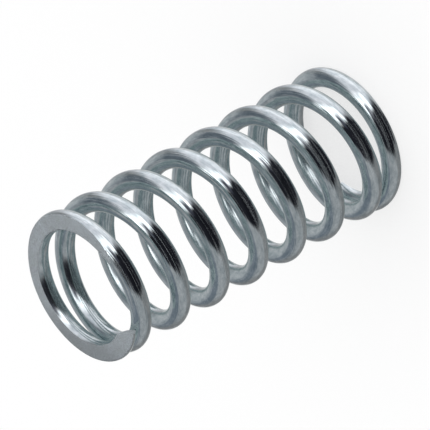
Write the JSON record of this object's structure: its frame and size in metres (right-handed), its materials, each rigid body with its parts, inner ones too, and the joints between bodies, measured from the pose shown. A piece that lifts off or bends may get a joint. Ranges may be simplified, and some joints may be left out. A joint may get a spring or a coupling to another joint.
{
  "type": "clutch spring",
  "caption": "Right-hand helical compression spring of round steel wire, with closed and ground ends, that presses a clutch's plates together.",
  "frame": {"origin": "centre of the coil's lower ground face, which the spring stands on", "axes": "+Z along the coil's axis, from the lower ground face to the upper one; the turns climb right-handed from the lower tip, at 127 degrees from +X towards +Y, to the upper tip at 217 degrees"},
  "size_m": [0.0158, 0.0158, 0.0359],
  "materials": {
    "zinc_plated_steel": "bright zinc plate on drawn wire, matte on the ground end faces"
  },
  "bodies": {
    "root": {"clutch_spring": "zinc_plated_steel"}
  },
  "joints": []
}
